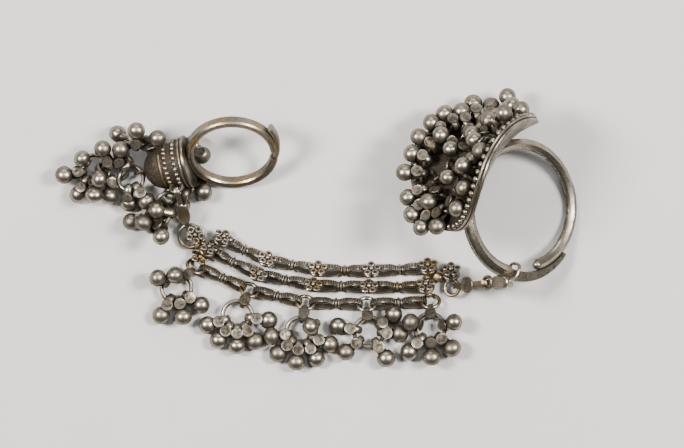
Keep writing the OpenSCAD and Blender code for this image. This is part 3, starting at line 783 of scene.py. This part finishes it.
bezel = {"granules": 26, "granuleR": 0.47,
         "profile": [(0, 8.1), (4.55, 8.1), (4.80, 8.18), (4.86, 8.35), (4.80, 8.55), (4.62, 8.66),
                     (4.40, 8.74), (4.32, 9.6), (4.24, 10.2), (4.10, 11.2), (3.98, 12.2), (3.84, 13.2),
                     (3.90, 13.5), (3.86, 13.74), (3.72, 14.1), (3.45, 14.7), (3.0, 15.32), (2.4, 15.88),
                     (1.7, 16.3), (0.9, 16.58), (0, 16.68)],
         # the angle round the bezel, how far out, how high, and the radius
         "loops": [(165, 4.75, 11.0, 1.1), (140, 4.75, 12.7, 1.1), (44, 0, 17.35, 1.15),
                   (-54.3, 5.1, 15.1, 1.1), (124.6, 4.95, 9.9, 1.0), (88.7, 4.95, 9.8, 1.0),
                   (-19.4, 3.9, 7.3, 1.0)]}


def flatBar(t, w):
    # a flat bar with a shallow groove along its upper and lower side
    return [(-t / 2, w * 0.34), (-t * 0.34, w * 0.48), (-t * 0.10, w / 2), (-t * 0.02, w * 0.465),
            (t * 0.06, w / 2), (t * 0.32, w * 0.49), (t / 2, w * 0.36), (t / 2, -w * 0.36),
            (t * 0.32, -w * 0.49), (t * 0.06, -w / 2), (-t * 0.02, -w * 0.465), (-t * 0.10, -w / 2),
            (-t * 0.34, -w * 0.48), (-t / 2, -w * 0.34)]


def smallToeRing():
    bm = bmesh.new()
    # painted shade in the grooves along the small band and on its edges
    arcBar(bm, flatBar(1.4, 2.0), 7.7, 5, 350, smallFrame, 120,
           [0.2, 0, 0, 0.55, 0, 0, 0.25, 0.35, 0.2, 0.2, 0.5, 0.2, 0.2, 0.35])
    arcBar(bm, flatBar(0.9, 1.7), 8.3, -17, 33, smallFrame @ move(-0.06, 1.7, 0), 24)
    # painted shade, with some tarnish: the drum wall behind its granules and twisted wires is darkest, and
    # the cap under the cluster of drops is dark too
    lathe(bm, bezel["profile"], 64, bezelFrame, None,
          [0, 0, 0, 0, 0.1, 0.5, 0.9, 1.0, 1.1, 1.1, 1.1, 0.9, 0.8, 0.85, 0.85, 0.85] + [0.8] * 5)
    for z, r, wire in ((9.15, 4.34, 0.26), (12.95, 3.88, 0.24)):
        twistedRing(bm, r, wire, bezelFrame @ move(0, 0, z), 60, 160)
    for row in (0, 1):
        for i in range(bezel["granules"]):
            around = 360 * (i + 0.3 + row / 2) / bezel["granules"]
            granule(bm, bezel["granuleR"], bezelFrame @ turn(0, 0, around)
                    @ move(4.20 - 0.24 * row, 0, 10.2 + 1.75 * row) @ turn(0, 90, 0), 10)
    for turned, out, height, size in bezel["loops"]:
        torus(bm, size, 0.31, atLoop(turned, out, height), 28, 8)
    lathe(bm, [(0, 0), (0.42, 0), (0.42, 1.1), (0, 1.1)], 12,
          bezelFrame @ turn(0, 0, -54.3) @ move(3.0, 0, 15.1) @ turn(0, 90, 0))
    finished(bm, "smallToeRing", [bezelSilver], "small_toe_ring")


smallToeRing()
print("rings made")


# the wire hook on the band, and the two bails

def onBand(r, turned, z):
    return Vector((r * math.cos(math.radians(turned)), r * math.sin(math.radians(turned)), z))


def wireLoop(bm, points, wire, side, place):
    # a closed wire that runs smoothly through the points, which lie round the direction side
    rings = []
    count = len(points)
    for i in range(count * 6):
        a, b, c, d = (points[(i // 6 + k) % count] for k in (-1, 0, 1, 2))
        t = i % 6 / 6
        bend = a * 2 - b * 5 + c * 4 - d
        twist = b * 3 - a - c * 3 + d
        at = (b * 2 + (c - a) * t + bend * t ** 2 + twist * t ** 3) / 2
        along = (c - a + bend * 2 * t + twist * 3 * t ** 2).normalized()
        one = along.cross(side).normalized()
        two = along.cross(one)
        rings.append([at + (one * math.cos(math.pi * k / 4) + two * math.sin(math.pi * k / 4)) * wire
                      for k in range(8)])
    loft(bm, rings, place, None)


def leaf(bm, a, b, power, thick, place):
    # a pillow-shaped leaf that lies on its place
    rings = []
    for inset, height in ((0.9, 0), (0.12, 0), (0, 0.25), (0, 0.65), (0.10, 0.9), (0.3, 1.0), (0.9, 1.1)):
        rings.append([(*superPoint(a * (1 - inset * b / a), b * (1 - inset), power, 2 * math.pi * i / 32),
                       thick * height) for i in range(32)])
    loft(bm, rings, place)


hook = {"foot": (30.2, -9.9, 7.2), "eyeR": 1.1, "wire": 0.3,
        # points the wire passes: radius, angle and height in the big ring's frame
        "route": [(13.9, 254, 1.35), (12.6, 260.5, 1.6), (10.5, 264.5, 1.35), (10.3, 265, -1.2),
                  (13.85, 265, -1.2), (13.9, 262, 0.3)]}


def bandHook():
    bm = bmesh.new()
    wireLoop(bm, [onBand(*point) for point in hook["route"]], hook["wire"], onBand(1, 352, 0), bigFrame)
    top = bigFrame @ onBand(*hook["route"][0])
    length = (top - Vector(hook["foot"])).length
    place = aimed(hook["foot"], top)
    torus(bm, hook["eyeR"], 0.36, place @ move(hook["eyeR"], 0, 0), 32, 10)
    leaf(bm, length / 2 - hook["eyeR"] + 0.3, 1.35, 2.1, 0.5,
         place @ move(length / 2 + hook["eyeR"], 0, -0.25))
    finished(bm, "bandHook", [bandSilver], "band_hook")


def leftBail():
    bm = bmesh.new()
    top = strapBetween(bm, (-25.56, 6.58, 7.32), (-23.8, 0.65, 1.9), 0.4, 0.9)
    leaf(bm, 2.5, 1.2, 1.7, 0.45, top @ move(4.9, 0, 0))
    finished(bm, "leftBail", [chainSilver], "left_bail")


def rightBail():
    bm = bmesh.new()
    top = strapBetween(bm, (25.72, -10.4, 2.25), hook["foot"], 0.4, 1.0)
    cutDisc(bm, 1.5, 0.5, top @ move(3.7, 0, 0))
    finished(bm, "rightBail", [jointSilver, cutSilver], "right_bail")


bandHook()
leftBail()
rightBail()
print("hook and bails made")


# floor, lights and camera

bm = bmesh.new()
bmesh.ops.create_grid(bm, x_segments=1, y_segments=1, size=1.5)
floorMesh = bpy.data.meshes.new("floor")
bm.to_mesh(floorMesh)
bm.free()
floor = bpy.data.objects.new("floor", floorMesh)
bpy.context.scene.collection.objects.link(floor)
ground = Finish("pale_floor")
ground.set(Base_Color=ground.mix(ground.noise(40, 4), (0.54, 0.53, 0.51), (0.58, 0.57, 0.55)), Roughness=0.75)
floorMesh.materials.append(ground.material)

world = bpy.data.worlds.new("studio")
world.use_nodes = True
background = world.node_tree.nodes["Background"]
background.inputs["Color"].default_value = (0.83, 0.82, 0.80, 1)
background.inputs["Strength"].default_value = 0.12
bpy.context.scene.world = world


def softLight(name, place, size, power, colour):
    light = bpy.data.lights.new(name, "AREA")
    light.shape = "RECTANGLE"
    light.size, light.size_y = size
    light.energy = power
    light.color = colour
    lamp = bpy.data.objects.new(name, light)
    lamp.location = place
    lamp.rotation_mode = "QUATERNION"
    lamp.rotation_quaternion = (Vector((0, 0, 0)) - Vector(place)).to_track_quat("-Z", "Y")
    bpy.context.scene.collection.objects.link(lamp)


softLight("left", (-0.42, 0.10, 0.60), (0.14, 0.20), 9.2, (1, 0.97, 0.93))
softLight("right", (0.42, 0.10, 0.60), (0.14, 0.20), 9.2, (1, 0.98, 0.95))
softLight("top", (0.12, 0.28, 1.2), (0.25, 0.25), 2.6, (1, 0.99, 0.97))
softLight("back", (0.0, 0.75, 0.45), (0.6, 0.2), 3.0, (0.97, 0.98, 1))

# scale is in pixels a millimetre and holds at height, in metres over the floor
view = {"scale": 5.5, "width": 684, "centreX": 4.4545, "centreY": 0.818, "distance": 2.5, "height": 0.006,
        "sensor": 36}
cameraData = bpy.data.cameras.new("camera")
camera = bpy.data.objects.new("camera", cameraData)
camera.location = (view["centreX"] * mm, view["centreY"] * mm, view["distance"])
cameraData.sensor_width = view["sensor"]
cameraData.lens = view["sensor"] * (view["distance"] - view["height"]) / (view["width"] / view["scale"] * mm)
cameraData.clip_start = 0.1
cameraData.clip_end = 10
bpy.context.scene.collection.objects.link(camera)
bpy.context.scene.camera = camera
